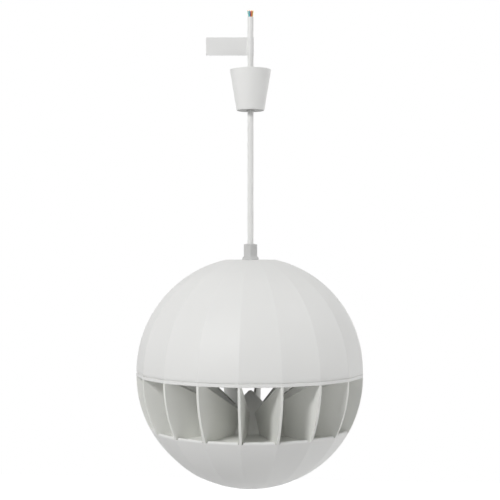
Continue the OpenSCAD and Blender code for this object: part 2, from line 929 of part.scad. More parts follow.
module terminal_block() {
    pitch = block_l / block_ways;
    color([0.9, 0.89, 0.85])
        at_seam()
            translate([block_x, -block_l / 2, core_z])
                difference() {
                    cube([block_w, block_l, block_h]);
                    for (i = [0 : block_ways - 1])
                        translate([0, (i + 0.5) * pitch, 0]) {
                            translate([block_w - wire_hole_l, 0, block_h / 2])
                                rotate([0, 90, 0])
                                    cylinder(r = wire_hole_r, h = wire_hole_l + cut);
                            translate([block_w / 2, 0, block_h - screw_hole_l])
                                cylinder(r = screw_hole_r, h = screw_hole_l + cut);
                        }
                }
}

module driver_leads() {
    start_x = block_x + block_w + glue_gap;
    start_z = core_z + block_h / 2;
    end_x = terminal_r + terminal_w / 2 - lug_t / 2;
    end_z = flange_top + terminal_t - lug_t / 2 + lug_h + 2 * glue_gap;
    color([0.7, 0.12, 0.1])
        at_seam()
            for (y = [-lug_y, lug_y])
                tube(
                    [for (b = LEAD_BENDS) [start_x + (end_x - start_x) * b[0], y, start_z + (end_z - start_z) * b[1]]],
                    lead_r,
                    8
                );
}

module inner_cable() {
    start_z = z_nut_top - z_seam;
    free_z = z_thread - clamp_h - cable_room - z_seam;
    end_x = block_x + block_w / 2;
    end_z = core_z + block_h + glue_gap;
    color([0.9, 0.9, 0.89])
        at_seam()
            tube(
                concat(
                    [for (share = CABLE_SHAFT) [0, 0, start_z + (free_z - start_z) * share]],
                    [for (b = CABLE_BENDS) [end_x * b[0], 0, free_z + (end_z - free_z) * b[1]]]
                ),
                cord_r,
                10
            );
}

// Gland

module load_plate() {
    color([0.66, 0.67, 0.68])
        ring(load_plate_r, thread_r + fit_gap, z_plate, load_plate_t);
}

module gland_locknut() {
    color([0.75, 0.75, 0.74])
        translate([0, 0, z_plate - locknut_t])
            difference() {
                hexagon(locknut_af, locknut_t);
                translate([0, 0, -cut])
                    cylinder(r = thread_r + thread_gap, h = locknut_t + 2 * cut);
            }
}

module gland_body() {
    flare = (base_af - nut_af) / 2;
    color([0.75, 0.75, 0.74])
        difference() {
            union() {
                translate([0, 0, z_top])
                    intersection() {
                        hexagon(base_af, base_h);
                        cylinder(r1 = base_af / 2 + base_round, r2 = base_af / 2 - flare + crown_in, h = base_h);
                    }
                translate([0, 0, z_thread])
                    cylinder(r = thread_r, h = z_top - z_thread + cut);
                translate([0, 0, z_top])
                    cylinder(r = collar_r, h = base_h + collar_h);
            }
            translate([0, 0, z_thread - cut])
                cylinder(r = bore_r, h = z_top - z_thread + base_h + collar_h + 2 * cut);
            translate([0, 0, z_top + base_h + seal_seat])
                cylinder(r = seal_r + glue_gap, h = collar_h);
        }
}

module gland_seal() {
    color([0.2, 0.2, 0.2])
        ring(seal_r, cord_r + glue_gap, z_top + base_h + seal_seat, collar_h - seal_seat);
}

module gland_nut() {
    nut_r = nut_af / 2 / cos(30);
    color([0.75, 0.75, 0.74])
        translate([0, 0, z_top + base_h])
            difference() {
                intersection() {
                    hexagon(nut_af, nut_h);
                    rotate_extrude()
                        polygon(concat(
                            [[0, 0], [nut_r + crown_taper, 0]],
                            arc_line(
                                nut_af / 2 - nut_crown + crown_in,
                                nut_h - nut_crown - crown_top,
                                nut_crown,
                                crown_a,
                                crown_end_a,
                                crown_steps
                            ),
                            [[bore_r + mouth_edge, nut_h], [0, nut_h]]
                        ));
                }
                translate([0, 0, -cut])
                    cylinder(r = collar_r + thread_gap, h = collar_h + collar_room + cut);
                translate([0, 0, -cut])
                    cylinder(r = bore_r, h = nut_h + 2 * cut);
            }
}

module cord_clamp() {
    length = 2 * cord_d + 4 * head_r;
    color([0.66, 0.67, 0.68])
        translate([0, 0, z_thread - clamp_h])
            difference() {
                translate([-length / 2, -cord_d, 0])
                    cube([length, 2 * cord_d, clamp_h]);
                translate([-length, -clamp_slit / 2, -cut])
                    cube([2 * length, clamp_slit, clamp_h + 2 * cut]);
                translate([0, 0, -cut])
                    cylinder(r = cord_r + glue_gap, h = clamp_h + 2 * cut);
                for (side = [-1, 1])
                    translate([side * (cord_d + head_r / 2), 0, clamp_h / 2])
                        rotate([90, 0, 0])
                            cylinder(r = shank_r + thread_gap, h = 3 * cord_d, center = true);
            }
}

module clamp_screws() {
    color([0.62, 0.62, 0.6])
        for (side = [-1, 1])
            translate([side * (cord_d + head_r / 2), -cord_d, z_thread - clamp_h / 2])
                rotate([90, 0, 0])
                    pan_screw(2 * cord_d);
}

// Ceiling cup

module ceiling_cup() {
    color([0.92, 0.92, 0.91])
        rotate_extrude()
            polygon([
                [grommet_neck_r + glue_gap, -cup_h],
                [cup_end_r - cup_edge, -cup_h],
                [cup_end_r, cup_edge - cup_h],
                [cup_top_r, -cup_edge / 2],
                [cup_top_r - cup_edge / 2, 0],
                [cup_top_r - cup_wall, 0],
                [cup_end_r - cup_wall, cup_floor - cup_h],
                [grommet_neck_r + glue_gap, cup_floor - cup_h]
            ]);
}

module cup_grommet() {
    color([0.55, 0.55, 0.54])
        rotate_extrude()
            polygon([
                [cord_r + glue_gap, -cup_h],
                [grommet_neck_r, -cup_h],
                [grommet_neck_r, cup_floor - cup_h + glue_gap],
                [grommet_flange_r, cup_floor - cup_h + glue_gap],
                [grommet_flange_r - cup_edge, cup_floor - cup_h + grommet_flange_t],
                [cord_r + glue_gap, cup_floor - cup_h + grommet_flange_t]
            ]);
}

// Cord, tag and stripped conductors

module cord() {
    color([0.9, 0.9, 0.89])
        tube(CORD_ROUTE, cord_r, 12);
}

module tag() {
    color([0.88, 0.88, 0.88])
        translate([0, 0, tag_z])
            rotate([0, 0, view_turn])
                difference() {
                    union() {
                        cylinder(r = cord_r + glue_gap + tag_t, h = tag_h);
                        translate([-tag_l, -tag_t, 0])
                            cube([tag_l, 2 * tag_t, tag_h]);
                    }
                    translate([0, 0, -cut])
                        cylinder(r = cord_r + glue_gap, h = tag_h + 2 * cut);
                }
}

module conductors() {
    top = CORD_ROUTE[len(CORD_ROUTE) - 1][2];
    rotate([0, 0, view_turn])
        for (wire = WIRES)
            color(wire[0])
                tube(
                    [for (step = WIRE_STEPS) [
                        wire[1][0] + wire[2][0] * step[1],
                        wire[1][1] + wire[2][1] * step[1],
                        top + WIRE_H * step[0]
                    ]],
                    WIRE_R,
                    8
                );
}

upper_shell();
damping_lining();
baffle_ring();
deflector();
bottom_bowl();
for (k = [0 : gores - 1])
    vane(k);
shell_screws();
bowl_screw();
frame_gasket();
driver_frame();
driver_screws();
driver_terminals();
top_plate();
magnet();
back_plate();
paper_cone();
surround();
spider();
dust_cap();
coil_former();
coil_winding();
transformer_bracket();
transformer_core();
transformer_winding();
transformer_clamp();
terminal_block();
driver_leads();
inner_cable();
cord_clamp();
clamp_screws();
load_plate();
gland_locknut();
gland_body();
gland_seal();
gland_nut();
ceiling_cup();
cup_grommet();
cord();
tag();
conductors();
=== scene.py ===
"""Looks of the pendant speaker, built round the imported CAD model. Metres, +Z up, as in the frame."""

import math

import bmesh
import bpy
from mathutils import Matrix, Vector


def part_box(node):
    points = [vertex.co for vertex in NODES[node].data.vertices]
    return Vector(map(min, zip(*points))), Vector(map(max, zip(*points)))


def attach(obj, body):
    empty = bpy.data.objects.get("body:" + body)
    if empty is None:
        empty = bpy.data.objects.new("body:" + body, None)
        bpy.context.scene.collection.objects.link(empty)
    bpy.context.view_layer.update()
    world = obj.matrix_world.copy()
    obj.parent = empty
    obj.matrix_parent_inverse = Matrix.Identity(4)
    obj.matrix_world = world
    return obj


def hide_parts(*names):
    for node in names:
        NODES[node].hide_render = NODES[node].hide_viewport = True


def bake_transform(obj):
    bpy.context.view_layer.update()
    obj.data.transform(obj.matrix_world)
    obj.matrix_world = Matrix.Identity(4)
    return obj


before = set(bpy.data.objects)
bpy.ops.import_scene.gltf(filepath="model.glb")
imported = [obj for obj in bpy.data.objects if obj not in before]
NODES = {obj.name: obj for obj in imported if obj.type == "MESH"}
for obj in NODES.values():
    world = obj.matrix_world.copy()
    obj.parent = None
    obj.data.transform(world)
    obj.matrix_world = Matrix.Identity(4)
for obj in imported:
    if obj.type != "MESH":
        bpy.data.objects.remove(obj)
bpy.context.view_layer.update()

MM = 0.001
GORES = 18
VIEW_TURN = math.radians(5.3)


# Camera

CAMERA_DISTANCE = 2.067
CAMERA_HEIGHT = -0.318
FOCAL_PIXELS = 1171
IMAGE_WIDTH = 500
SENSOR = 36.0
AXIS_PIXEL = 250.5
SIGHT_END = 60


def make_camera():
    """Looks level along the photograph's line of sight, with the cord's axis on its own pixel column."""
    data = bpy.data.cameras.new("camera")
    data.sensor_width = SENSOR
    data.lens = FOCAL_PIXELS / IMAGE_WIDTH * SENSOR
    data.clip_end = SIGHT_END
    camera = bpy.data.objects.new("camera", data)
    bpy.context.scene.collection.objects.link(camera)
    away = Vector((math.sin(VIEW_TURN), -math.cos(VIEW_TURN), 0))
    camera.location = away * CAMERA_DISTANCE + Vector((0, 0, CAMERA_HEIGHT))
    aside = math.atan((AXIS_PIXEL - IMAGE_WIDTH / 2) / FOCAL_PIXELS)
    camera.rotation_euler = (math.pi / 2, 0, VIEW_TURN + aside)
    bpy.context.scene.camera = camera


make_camera()


# Helpers

def link(obj):
    bpy.context.scene.collection.objects.link(obj)
    return obj


def mesh_piece(name, points, faces, material, smooth=True):
    mesh = bpy.data.meshes.new(name)
    mesh.from_pydata(points, [], faces)
    for polygon in mesh.polygons:
        polygon.use_smooth = smooth
    mesh.materials.append(material)
    mesh.update()
    return link(bpy.data.objects.new(name, mesh))


def set_material(node, material):
    mesh = NODES[node].data
    mesh.materials.clear()
    mesh.materials.append(material)


# Materials

FLOW_SCALE = 9
GLOSS_SCALE = 60
GLOSS_SPREAD = 0.05
STREAK_SCALE = 120
STREAK_STRENGTH = 0.08
# Darkest and lightest share of a material's own colour
METAL_TONES = (0.9, 1.08)
MATT_TONES = (0.75, 1.25)
GRAIN_DEPTH = 0.1 * MM
PLASTIC_IOR = 1.49
DOWNWARD = -0.9


def new_material(name):
    material = bpy.data.materials.new(name)
    material.use_nodes = True
    tree = material.node_tree
    return material, tree, tree.nodes["Principled BSDF"]


def add_node(tree, kind, **values):
    node = tree.nodes.new(kind)
    for key, value in values.items():
        if key in node.inputs:
            node.inputs[key].default_value = value
        else:
            setattr(node, key, value)
    return node


def noise(tree, scale, detail=2.0, stretch=None):
    """A noise texture in the object's own metres, optionally stretched along an axis."""
    coordinates = add_node(tree, "ShaderNodeTexCoord")
    texture = add_node(tree, "ShaderNodeTexNoise", Scale=scale, Detail=detail)
    source = coordinates.outputs["Object"]
    if stretch:
        mapping = add_node(tree, "ShaderNodeMapping", Scale=stretch)
        tree.links.new(source, mapping.inputs["Vector"])
        source = mapping.outputs["Vector"]
    tree.links.new(source, texture.inputs["Vector"])
    return texture.outputs["Fac"]


def vary_colour(tree, shader, factor, low, high):
    """Two close shades of one colour, mixed by a texture."""
    mix = add_node(tree, "ShaderNodeMix", data_type="RGBA")
    mix.inputs["A"].default_value = (*low, 1)
    mix.inputs["B"].default_value = (*high, 1)
    tree.links.new(factor, mix.inputs["Factor"])
    tree.links.new(mix.outputs["Result"], shader.inputs["Base Color"])


def vary_value(tree, socket, factor, low, high):
    """A shader value that runs between two limits with a texture."""
    spread = add_node(tree, "ShaderNodeMapRange")
    spread.inputs["To Min"].default_value = low
    spread.inputs["To Max"].default_value = high
    tree.links.new(factor, spread.inputs["Value"])
    tree.links.new(spread.outputs["Result"], socket)


def bump(tree, shader, height, strength, depth):
    node = add_node(tree, "ShaderNodeBump", Strength=strength, Distance=depth)
    tree.links.new(height, node.inputs["Height"])
    tree.links.new(node.outputs["Normal"], shader.inputs["Normal"])


def shade(colour, share):
    return tuple(c * share for c in colour)


def moulded(name, colour, roughness=0.42, texture=900, strength=0.12, spread=0.03):
    """Moulded plastic: an even colour with a faint flow of tone and a fine spark-eroded texture."""
    material, tree, shader = new_material(name)
    flow = noise(tree, FLOW_SCALE, 3.0)
    gloss = noise(tree, GLOSS_SCALE, 2.0)
    vary_colour(tree, shader, flow, shade(colour, 1 - spread), shade(colour, 1 + spread))
    low, high = roughness - GLOSS_SPREAD, roughness + GLOSS_SPREAD
    vary_value(tree, shader.inputs["Roughness"], gloss, low, high)
    bump(tree, shader, noise(tree, texture, 2.0), strength, GRAIN_DEPTH)
    shader.inputs["IOR"].default_value = PLASTIC_IOR
    return material


def paint_underside_shade(material, colour):
    """Painted shade: a darker colour on the faces that look straight down, standing in for the shade that
    falls there.
    """
    tree = material.node_tree
    shader = tree.nodes["Principled BSDF"]
    shown = shader.inputs["Base Color"].links[0].from_socket
    surface = add_node(tree, "ShaderNodeNewGeometry")
    axes = add_node(tree, "ShaderNodeSeparateXYZ")
    below = add_node(tree, "ShaderNodeMath", operation="LESS_THAN")
    below.inputs[1].default_value = DOWNWARD
    mix = add_node(tree, "ShaderNodeMix", data_type="RGBA")
    mix.inputs["B"].default_value = (*colour, 1)
    tree.links.new(surface.outputs["Normal"], axes.inputs[0])
    tree.links.new(axes.outputs["Z"], below.inputs[0])
    tree.links.new(below.outputs[0], mix.inputs["Factor"])
    tree.links.new(shown, mix.inputs["A"])
    tree.links.new(mix.outputs["Result"], shader.inputs["Base Color"])


def metal(name, colour, roughness, grain=(1, 1, 30)):
    """Bare metal with drawn streaks along one axis."""
    material, tree, shader = new_material(name)
    shader.inputs["Metallic"].default_value = 1.0
    streaks = noise(tree, STREAK_SCALE, 3.0, grain)
    vary_colour(tree, shader, streaks, *(shade(colour, tone) for tone in METAL_TONES))
    vary_value(tree, shader.inputs["Roughness"], streaks, roughness - 0.06, roughness + 0.08)
    bump(tree, shader, streaks, STREAK_STRENGTH, GRAIN_DEPTH)
    return material


def soft_matter(name, colour, roughness, texture, strength, depth):
    """Rubber, paper, cloth or sintered matter: matt, with a grain that shows in colour and in relief."""
    material, tree, shader = new_material(name)
    grain = noise(tree, texture, 4.0)
    vary_colour(tree, shader, grain, *(shade(colour, tone) for tone in MATT_TONES))
    shader.inputs["Roughness"].default_value = roughness
    bump(tree, shader, grain, strength, depth)
    return material


SHELL_WHITE = (0.86, 0.86, 0.845)
HORN_WHITE = (0.87, 0.875, 0.84)
CUP_WHITE = (0.86, 0.86, 0.845)
# Painted shade for the cup's underside, not a colour of its own
CUP_UNDERSIDE_PAINTED_SHADE = (0.33, 0.33, 0.32)
GLAND_GREY = (0.58, 0.58, 0.575)
CORD_WHITE = (0.85, 0.85, 0.835)
TAG_GREY = (0.83, 0.83, 0.82)

shell_plastic = moulded("shell_plastic", SHELL_WHITE, roughness=0.55)
horn_plastic = moulded("horn_plastic", HORN_WHITE, roughness=0.5)
cup_plastic = moulded("cup_plastic", CUP_WHITE, roughness=0.45)
# Paints shade onto the cup's downward faces
paint_underside_shade(cup_plastic, CUP_UNDERSIDE_PAINTED_SHADE)
gland_plastic = moulded("gland_plastic", GLAND_GREY, roughness=0.5, texture=1400)
block_plastic = moulded("block_plastic", (0.72, 0.69, 0.58))
cord_pvc = moulded("cord_pvc", CORD_WHITE, roughness=0.45, texture=700, spread=0.05)
tag_film = moulded("tag_film", TAG_GREY, roughness=0.35, texture=500, spread=0.02)
lead_pvc = moulded("lead_pvc", (0.5, 0.03, 0.02))
former_film = moulded("former_film", (0.6, 0.35, 0.1))
winding_tape = moulded("winding_tape", (0.7, 0.5, 0.12), roughness=0.3)
steel = metal("steel", (0.62, 0.62, 0.6), roughness=0.32)
zinc = metal("zinc", (0.6, 0.62, 0.63), roughness=0.38)
copper = metal("copper", (0.8, 0.42, 0.2), roughness=0.35)
brass = metal("brass", (0.75, 0.6, 0.3), roughness=0.35)
core_steel = metal("core_steel", (0.3, 0.3, 0.32), roughness=0.5, grain=(1, 60, 1))
black_enamel = moulded("black_enamel", (0.03, 0.03, 0.032), roughness=0.4)
ferrite = soft_matter(
    "ferrite", (0.06, 0.06, 0.065),
    roughness=0.7, texture=400, strength=0.2, depth=0.2 * MM
)
rubber = soft_matter(
    "rubber", (0.025, 0.025, 0.027),
    roughness=0.6, texture=600, strength=0.15, depth=0.1 * MM
)
grey_rubber = soft_matter(
    "grey_rubber", (0.3, 0.3, 0.29),
    roughness=0.65, texture=600, strength=0.15, depth=0.1 * MM
)
paper = soft_matter(
    "paper", (0.035, 0.035, 0.035),
    roughness=0.85, texture=1500, strength=0.5, depth=0.2 * MM
)
felt = soft_matter(
    "felt", (0.18, 0.19, 0.2),
    roughness=0.95, texture=1200, strength=0.9, depth=0.6 * MM
)
spider_cloth = soft_matter(
    "spider_cloth", (0.55, 0.4, 0.15),
    roughness=0.8, texture=1600, strength=0.6, depth=0.3 * MM
)


# Cord, its conductors and its tag

CORD_D = 10.5 * MM
CORD_SIDES = 10
CORD_ROUTE = [
    (0, 0, -307), (0, 0, -280), (0, 0, -250), (0, 0, -220), (0, 0, -190),
    (0, 0, -160), (0, 0, -130), (0, 0, -100), (0, 0, -70), (0, 0, -40),
    (0, 0, -10), (0, 0, 20), (0, 0, 45), (0, 0, 70), (0, 0, 93)
]
WIRE_D = 2.1 * MM
WIRE_H = 12.2 * MM
WIRE_SIDES = 4
WIRE_STEPS = 8
COPPER_H = 1.4 * MM
COPPER_R = 0.63 * MM
COPPER_SIDES = 3
COPPER_STEPS = 3
FAN_START = 0.2
FAN_POWER = 1.3
# Name, colour, place in the sheath and lean at the tip, both in mm to the viewer's right and away
WIRES = [
    ("wire_green", (0.36, 0.70, 0.58), (-3.3, 0.5), (-1.9, 0.4)),
    ("wire_blue", (0.10, 0.46, 0.58), (-1.7, -1.9), (-0.9, -0.7)),
    ("wire_purple", (0.62, 0.15, 0.30), (0.1, 1.1), (0, 0.5)),
    ("wire_red", (0.80, 0.20, 0.06), (1.8, -1.9), (0.4, -0.6)),
    ("wire_yellow", (0.95, 0.83, 0.32), (3.4, 0.5), (1.2, 0.2)),
]


def turned(x, y, z):
    """A point given in the viewer's own right, depth and height, in metres."""
    c, s = math.cos(VIEW_TURN), math.sin(VIEW_TURN)
    return Vector((x * c - y * s, x * s + y * c, z))


def tube_curve(name, points, radius, material, round_sides):
    """A curve of one open spline with a round section and closed ends."""
    data = bpy.data.curves.new(name, "CURVE")
    data.dimensions = "3D"
    data.bevel_depth = radius
    data.bevel_resolution = round_sides
    data.use_fill_caps = True
    spline = data.splines.new("POLY")
    spline.points.add(len(points) - 1)
    for point, place in zip(spline.points, points):
        point.co = (*place, 1)
    spline.use_smooth = True
    data.materials.append(material)
    return link(bpy.data.objects.new(name, data))


def make_cord():
    route = [tuple(c * MM for c in point) for point in CORD_ROUTE]
    sheath = tube_curve("cord_sheath", route, CORD_D / 2, cord_pvc, CORD_SIDES)
    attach(sheath, "speaker")
    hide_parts("cord")
    return sheath, route


def wire_point(place, lean, top, share):
    """A point of a conductor, which leans out more and more above the sheath."""
    bend = max(0.0, (share - FAN_START) / (1 - FAN_START)) ** FAN_POWER
    right, away = (at + out * bend for at, out in zip(place, lean))
    return turned(right * MM, away * MM, top + WIRE_H * share)


def make_wires(top):
    """Five stripped conductors that fan out of the cut sheath, each with a bare copper tip."""
    made = []
    cut = 1 - COPPER_H / WIRE_H
    for name, colour, place, lean in WIRES:
        skin = moulded(name + "_pvc", colour, roughness=0.35, texture=1500)
        skin_line = [wire_point(place, lean, top, cut * i / WIRE_STEPS) for i in range(WIRE_STEPS + 1)]
        core_shares = [cut + (1 - cut) * i / COPPER_STEPS for i in range(COPPER_STEPS + 1)]
        core_line = [wire_point(place, lean, top, share) for share in core_shares]
        wire = tube_curve(name, skin_line, WIRE_D / 2, skin, WIRE_SIDES)
        core = tube_curve(name + "_core", core_line, COPPER_R, copper, COPPER_SIDES)
        for piece, slot in ((wire, "wire_pvc"), (core, "copper")):
            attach(piece, "speaker")
            made.append(piece)
    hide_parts("conductors")
    return made


TAG_LENGTH = 78.5 * MM
TAG_H = 31.8 * MM
TAG_FILM = 0.55 * MM
TAG_Z = 25.4 * MM
TAG_FIT = 0.12 * MM
TAG_TURNS = 40
TAG_STEPS = 24
TAG_SWAY = 0.5 * MM
TAG_SHARP = 35


def tag_sway(x, loop):
    """How far the flag bends out of its plane. It is straight at the cord and at its free end."""
    share = min(1, max(0, (-x - loop) / (TAG_LENGTH - loop)))
    return TAG_SWAY * math.sin(math.pi * share)


def tag_lines():
    """The tag seen from above: its outline, bent a little, and the hole that the cord fills."""
    loop = CORD_D / 2 + TAG_FIT
    around = loop + TAG_FILM
    start = math.asin(TAG_FILM / around)
    step = (TAG_LENGTH - loop) / TAG_STEPS
    front = [(-TAG_LENGTH + step * i, -TAG_FILM) for i in range(TAG_STEPS + 1)]
    bend = []
    for i in range(TAG_TURNS + 1):
        a = math.pi + start + (2 * math.pi - 2 * start) * i / TAG_TURNS
        bend.append((around * math.cos(a), around * math.sin(a)))
    back = [(-TAG_LENGTH + step * (TAG_STEPS - i), TAG_FILM) for i in range(TAG_STEPS + 1)]
    outline = [(x, y + tag_sway(x, loop)) for x, y in front[:-1] + bend + back[1:]]
    turns = [2 * math.pi * i / TAG_TURNS for i in range(TAG_TURNS)]
    return outline, [(loop * math.cos(a), loop * math.sin(a)) for a in turns]


def make_tag():
    """One strip of film, folded round the cord and stuck to itself as a flag."""
    mesh = bmesh.new()
    rings = []
    for line in tag_lines():
        rings.append([[mesh.verts.new(turned(x, y, z)) for x, y in line] for z in (TAG_Z, TAG_Z + TAG_H)])
    for low, high in rings:
        n = len(low)
        for i in range(n):
            mesh.faces.new((low[i], low[(i + 1) % n], high[(i + 1) % n], high[i]))
    for level in (0, 1):
        edges = []
        for ring in rings:
            line = ring[level]
            n = len(line)
            edges += [mesh.edges.get((line[i], line[(i + 1) % n])) for i in range(n)]
        bmesh.ops.triangle_fill(mesh, use_beauty=True, use_dissolve=False, edges=edges)
    bmesh.ops.recalc_face_normals(mesh, faces=mesh.faces)
    data = bpy.data.meshes.new("tag_film")
    mesh.to_mesh(data)
    mesh.free()
    for polygon in data.polygons:
        polygon.use_smooth = True
    data.set_sharp_from_angle(angle=math.radians(TAG_SHARP))
    data.materials.append(tag_film)
    tag = link(bpy.data.objects.new("tag_film", data))
    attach(tag, "speaker")
    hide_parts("tag")
    return tag


cord, cord_path = make_cord()
wires = make_wires(cord_path[-1][2])
tag = make_tag()


# Gored shells

CORNER_STEPS = 3
CORNER_TURN = math.pi / GORES
GORE_FILLET = 5 * MM
# A narrow strip beside each corner, so that the gore's face shades flat
SUPPORT = 1.0 * MM
# Near the axis both shrink, to these shares of the radius
MOST_FILLET = 0.3
MOST_SUPPORT = 0.06
BEVEL_SEGMENTS = 2


def corner_angle(k):
    return -math.pi / 2 + k * 2 * math.pi / GORES


def gore_row(radius, z, fillet=GORE_FILLET):
    """One level of a gored shell: flats between corners that are rounded a little."""
    fillet = min(fillet, radius * MOST_FILLET)
    reach = radius - fillet / math.cos(CORNER_TURN)
    support = min(SUPPORT, radius * MOST_SUPPORT)
    row = []
    for k in range(GORES):
        a = corner_angle(k)
        centre = Vector((reach * math.cos(a), reach * math.sin(a), z))
        ends = []
        for i in range(CORNER_STEPS + 1):
            t = a - CORNER_TURN + 2 * CORNER_TURN * i / CORNER_STEPS
            ends.append(centre + fillet * Vector((math.cos(t), math.sin(t), 0)))
        before = Vector((math.sin(a - CORNER_TURN), -math.cos(a - CORNER_TURN), 0))
        after = Vector((-math.sin(a + CORNER_TURN), math.cos(a + CORNER_TURN), 0))
        row += [ends[0] + support * before, *ends, ends[-1] + support * after]
    return row


def round_row(radius, z):
    """A round level with as many points as a gored one."""
    turns = [math.atan2(p.y, p.x) for p in gore_row(radius, z)]
    return [Vector((radius * math.cos(a), radius * math.sin(a), z)) for a in turns]


def dome_rows(radius, centre, low, high, steps, fillet=GORE_FILLET):
    """Gored levels up a ball, between two heights over its centre."""
    a, b = math.asin(low / radius), math.asin(high / radius)
    rows = []
    for i in range(steps + 1):
        t = a + (b - a) * i / steps
        rows.append(gore_row(radius * math.cos(t), centre + radius * math.sin(t), fillet))
    return rows


def loft(name, rows, material):
    """A closed skin over rows of points, whose last row joins its first."""
    n = len(rows[0])
    points = [p for row in rows for p in row]
    faces = []
    for i in range(len(rows)):
        j = (i + 1) % len(rows)
        for s in range(n):
            t = (s + 1) % n
            faces.append((i * n + s, i * n + t, j * n + t, j * n + s))
    return mesh_piece(name, points, faces, material)


def mark_sharp(obj, degrees):
    obj.data.set_sharp_from_angle(angle=math.radians(degrees))


def bevel_edges(obj, width, degrees):
    """Rounds the edges that are sharper than an angle, as a mould does."""
    bevel = obj.modifiers.new("edges", "BEVEL")
    bevel.width = width
    bevel.segments = BEVEL_SEGMENTS
    bevel.limit_method = "ANGLE"
    bevel.angle_limit = math.radians(degrees)
    bevel.miter_outer = "MITER_ARC"


SHELL_LOW, SHELL_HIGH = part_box("upper_shell")
BOWL_LOW, BOWL_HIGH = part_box("bottom_bowl")
BALL_R = SHELL_HIGH.y
WALL = 3.55 * MM
TOP_FLAT_R = 44 * MM
BOTTOM_FLAT_R = 16 * MM
TOP_WALL = 5 * MM
BOTTOM_WALL = 6 * MM
SEAM_GROOVE = 1.8 * MM
SEAM_H = 1.0 * MM
SEAM_ROUND = SEAM_H / 3
EDGE_STEP = 0.8 * MM
INNER_FILLET = 0.5 * MM
GLAND_HOLE_R = 10.3 * MM
DOME_STEPS = 48
DOME_INNER_STEPS = 24
SHELL_SHARP = 24
TOP_RISE = math.sqrt(BALL_R ** 2 - TOP_FLAT_R ** 2)
BOTTOM_FALL = math.sqrt(BALL_R ** 2 - BOTTOM_FLAT_R ** 2)


def make_upper_shell():
    """The upper half of the ball, with a shadow gap along its lower edge and the gland's hole on top."""
    centre = SHELL_HIGH.z - TOP_RISE
    inner = BALL_R - WALL
    inner_high = TOP_RISE - TOP_WALL
    gap_r = BALL_R - SEAM_GROOVE
    gap_z = SHELL_LOW.z + SEAM_H
    rows = [gore_row(gap_r, SHELL_LOW.z), gore_row(gap_r, gap_z), gore_row(BALL_R - SEAM_ROUND, gap_z)]
    rows += dome_rows(BALL_R, centre, SEAM_ROUND, TOP_RISE, DOME_STEPS)
    rows += [gore_row(TOP_FLAT_R - EDGE_STEP, SHELL_HIGH.z)]
    rows += [round_row(GLAND_HOLE_R, SHELL_HIGH.z), round_row(GLAND_HOLE_R, SHELL_HIGH.z - TOP_WALL)]
    rows += dome_rows(inner, centre, 0, inner_high, DOME_INNER_STEPS, INNER_FILLET)[::-1]
    rows += [gore_row(inner, SHELL_LOW.z, INNER_FILLET)]
    shell = loft("shell_skin", rows, shell_plastic)
    mark_sharp(shell, SHELL_SHARP)
    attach(shell, "speaker")
    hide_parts("upper_shell")


BOWL_CENTRE = BOWL_LOW.z + BOTTOM_FALL
RIM_ROUND = 3 * MM
RIM_W = 7.2 * MM
RIM_STEPS = 8
FLOOR_DROP = 3.3 * MM
FLOOR_T = 3 * MM
LEDGE_W = 5 * MM
NOTCH_W = 9 * MM
NOTCH_GAP = 0.1 * MM
HEAD_HOLE_R = 4.3 * MM
HEAD_HOLE_H = 2.8 * MM
SHANK_HOLE_R = 2.3 * MM
OVERSHOOT = 2 * MM
BOWL_STEPS = 40
BOWL_INNER_STEPS = 20
BOWL_BEVEL = 0.3 * MM
BOWL_SHARP = 28


def carve(obj, cutter):
    """Takes one mesh out of another, for good."""
    cut = obj.modifiers.new("cut", "BOOLEAN")
    cut.operation = "DIFFERENCE"
    cut.solver = "EXACT"
    cut.object = cutter
    bpy.context.view_layer.update()
    carved = bpy.data.meshes.new_from_object(obj.evaluated_get(bpy.context.evaluated_depsgraph_get()))
    obj.modifiers.clear()
    obj.data = carved
    bpy.data.objects.remove(cutter)


def notch_cutter(inner, outer, low, high):
    """A box across the rim at each corner, where a vane's foot stands."""
    points, faces = [], []
    for k in range(GORES):
        along = Vector((math.cos(corner_angle(k)), math.sin(corner_angle(k)), 0))
        across = Vector((-along.y, along.x, 0)) * NOTCH_W / 2
        start = len(points)
        for z in (low, high):
            for reach, side in ((inner, -1), (outer, -1), (outer, 1), (inner, 1)):
                points.append(along * reach + across * side + Vector((0, 0, z)))
        faces += [tuple(start + i for i in (3, 2, 1, 0)), tuple(start + i for i in (4, 5, 6, 7))]
        faces += [tuple(start + i for i in (j, (j + 1) % 4, (j + 1) % 4 + 4, j + 4)) for j in range(4)]
    return mesh_piece("notches", points, faces, shell_plastic, False)


